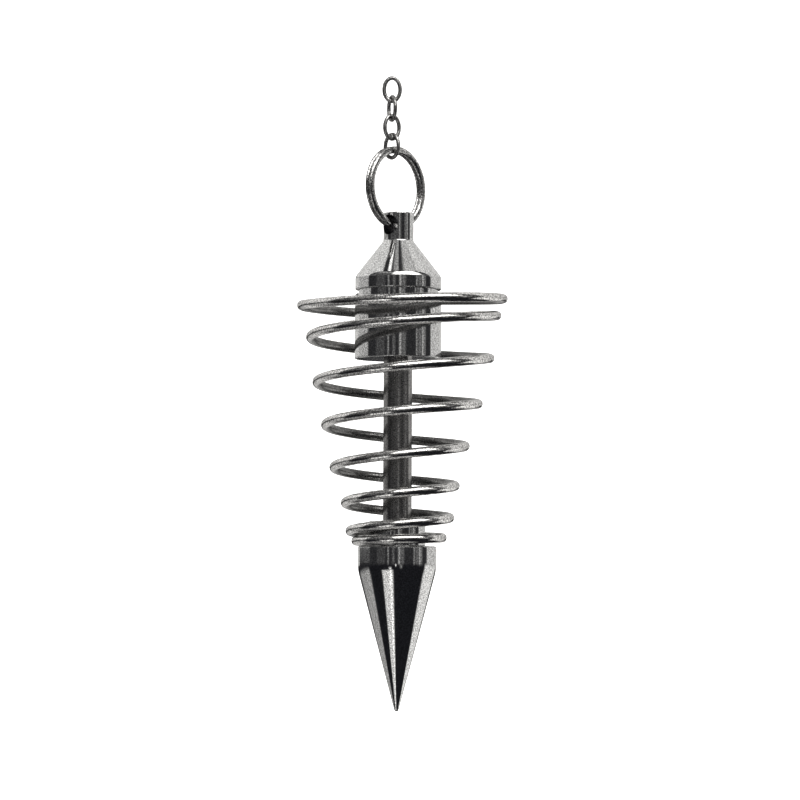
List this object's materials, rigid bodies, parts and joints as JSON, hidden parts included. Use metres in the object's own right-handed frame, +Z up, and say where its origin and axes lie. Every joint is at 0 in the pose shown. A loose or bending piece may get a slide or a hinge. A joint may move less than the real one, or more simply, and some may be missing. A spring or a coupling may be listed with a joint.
{
  "type": "pendulum pendant",
  "caption": "Turned, pointed pendulum bob with a tapering wire coil round its waist, hung by a split ring from a short end of chain.",
  "frame": {"origin": "inside top of the first chain link, where the pendant hangs", "axes": "+Z up along the hanging pendant, +X to the viewer's right in the picture, +Y away from the camera"},
  "size_m": [0.0264, 0.026, 0.0795],
  "materials": {
    "chain_plating": "polished bright plating on fine wire",
    "ring_plating": "polished bright plating on flattened wire",
    "turned_plating": "polished bright plating on turned brass",
    "coil_plating": "polished bright plating on drawn wire"
  },
  "bodies": {
    "chain": {"link_1": "chain_plating", "link_2": "chain_plating", "link_3": "chain_plating", "link_4": "chain_plating"},
    "ring": {"split_ring": "ring_plating"},
    "bob": {"cap": "turned_plating", "barrel": "turned_plating", "rod": "turned_plating", "collar": "turned_plating", "point": "turned_plating", "coil": "coil_plating"}
  },
  "joints": [
    {"name": "ring_swing", "type": "hinge", "parent": "chain", "child": "ring", "pos_m": [0, 0, -0.00883], "axis": [0.6691, 0.7431, 0], "range_deg": [-45, 45]},
    {"name": "bob_swing", "type": "hinge", "parent": "ring", "child": "bob", "pos_m": [0.00087, 0.00097, -0.01825], "axis": [0.6691, 0.7431, 0], "range_deg": [-90, 90]}
  ]
}
